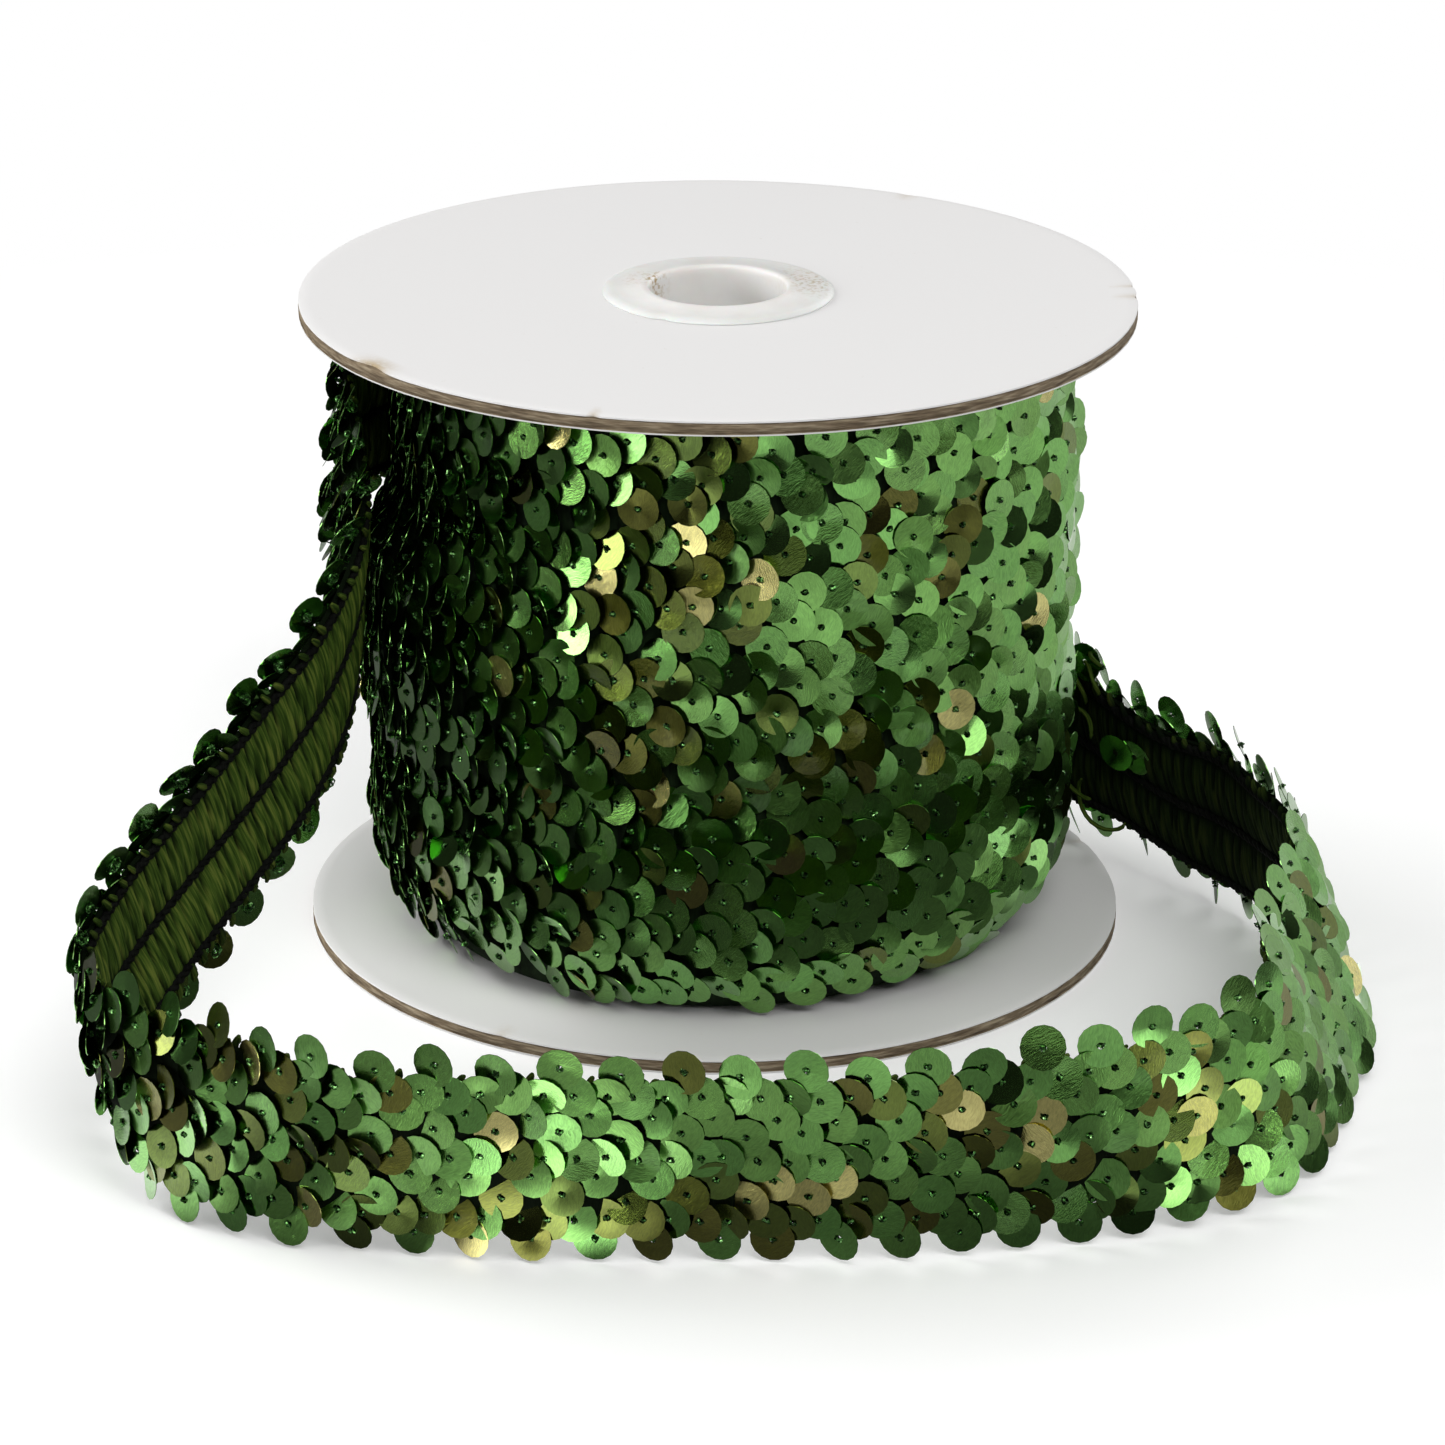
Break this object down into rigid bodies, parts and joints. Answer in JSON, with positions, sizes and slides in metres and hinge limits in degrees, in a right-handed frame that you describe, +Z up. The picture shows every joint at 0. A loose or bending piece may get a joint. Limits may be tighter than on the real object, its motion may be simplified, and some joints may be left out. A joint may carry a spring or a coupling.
{
  "type": "sequin trim on a spool",
  "caption": "Green sequin trim wound on a white board spool with a plastic core, its loose end standing in a loop round the front.",
  "frame": {"origin": "on the surface that the spool and the loose end stand on, under the middle of the whole object's bounding box", "axes": "+Z up along the spool's axis, -Y towards the loop of the loose end, +X towards the side where the cut end comes back to the spool"},
  "size_m": [0.1766, 0.1832, 0.0964],
  "materials": {
    "white_board": "matt white paper over grey board, brown at the cut edge",
    "white_plastic": "off-white, slightly yellowed, satin",
    "green_trim": "overlapping flat metallic green sequins on gathered green thread with black stitching"
  },
  "bodies": {
    "root": {"flange_bottom": "white_board", "flange_top": "white_board", "core": "white_plastic", "roll": "green_trim", "tail": "green_trim"}
  },
  "joints": []
}
